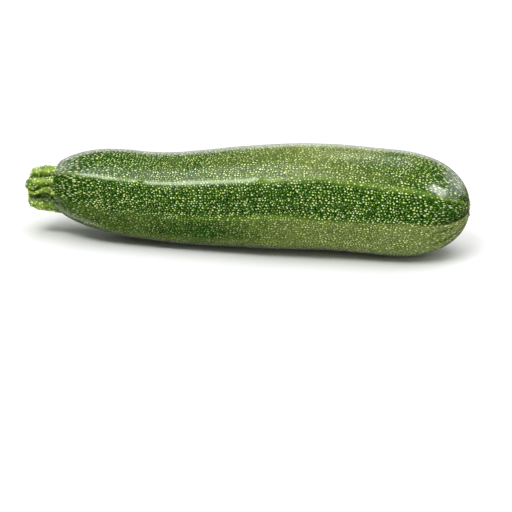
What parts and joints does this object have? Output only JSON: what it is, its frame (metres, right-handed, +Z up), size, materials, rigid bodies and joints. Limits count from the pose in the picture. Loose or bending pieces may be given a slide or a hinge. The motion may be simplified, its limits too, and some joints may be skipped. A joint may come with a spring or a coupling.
{
  "type": "courgette",
  "caption": "Courgette: a long, softly ridged green fruit with a slight bend, a cut stem stub at one end and a dry flower scar at the other.",
  "frame": {"origin": "under the middle of the bounding box, on the surface that the courgette lies on", "axes": "+X along the length towards the blossom end, with the stem towards -X; +Z up"},
  "size_m": [0.2006, 0.0478, 0.0473],
  "materials": {
    "skin": "waxy satin skin, dark green with fine pale green flecks",
    "stem_green": "matt, light yellow-green, fibrous",
    "cork": "matt, dry and brown"
  },
  "bodies": {
    "root": {"fruit": "skin", "stem": "stem_green", "blossom_scar": "cork"}
  },
  "joints": []
}
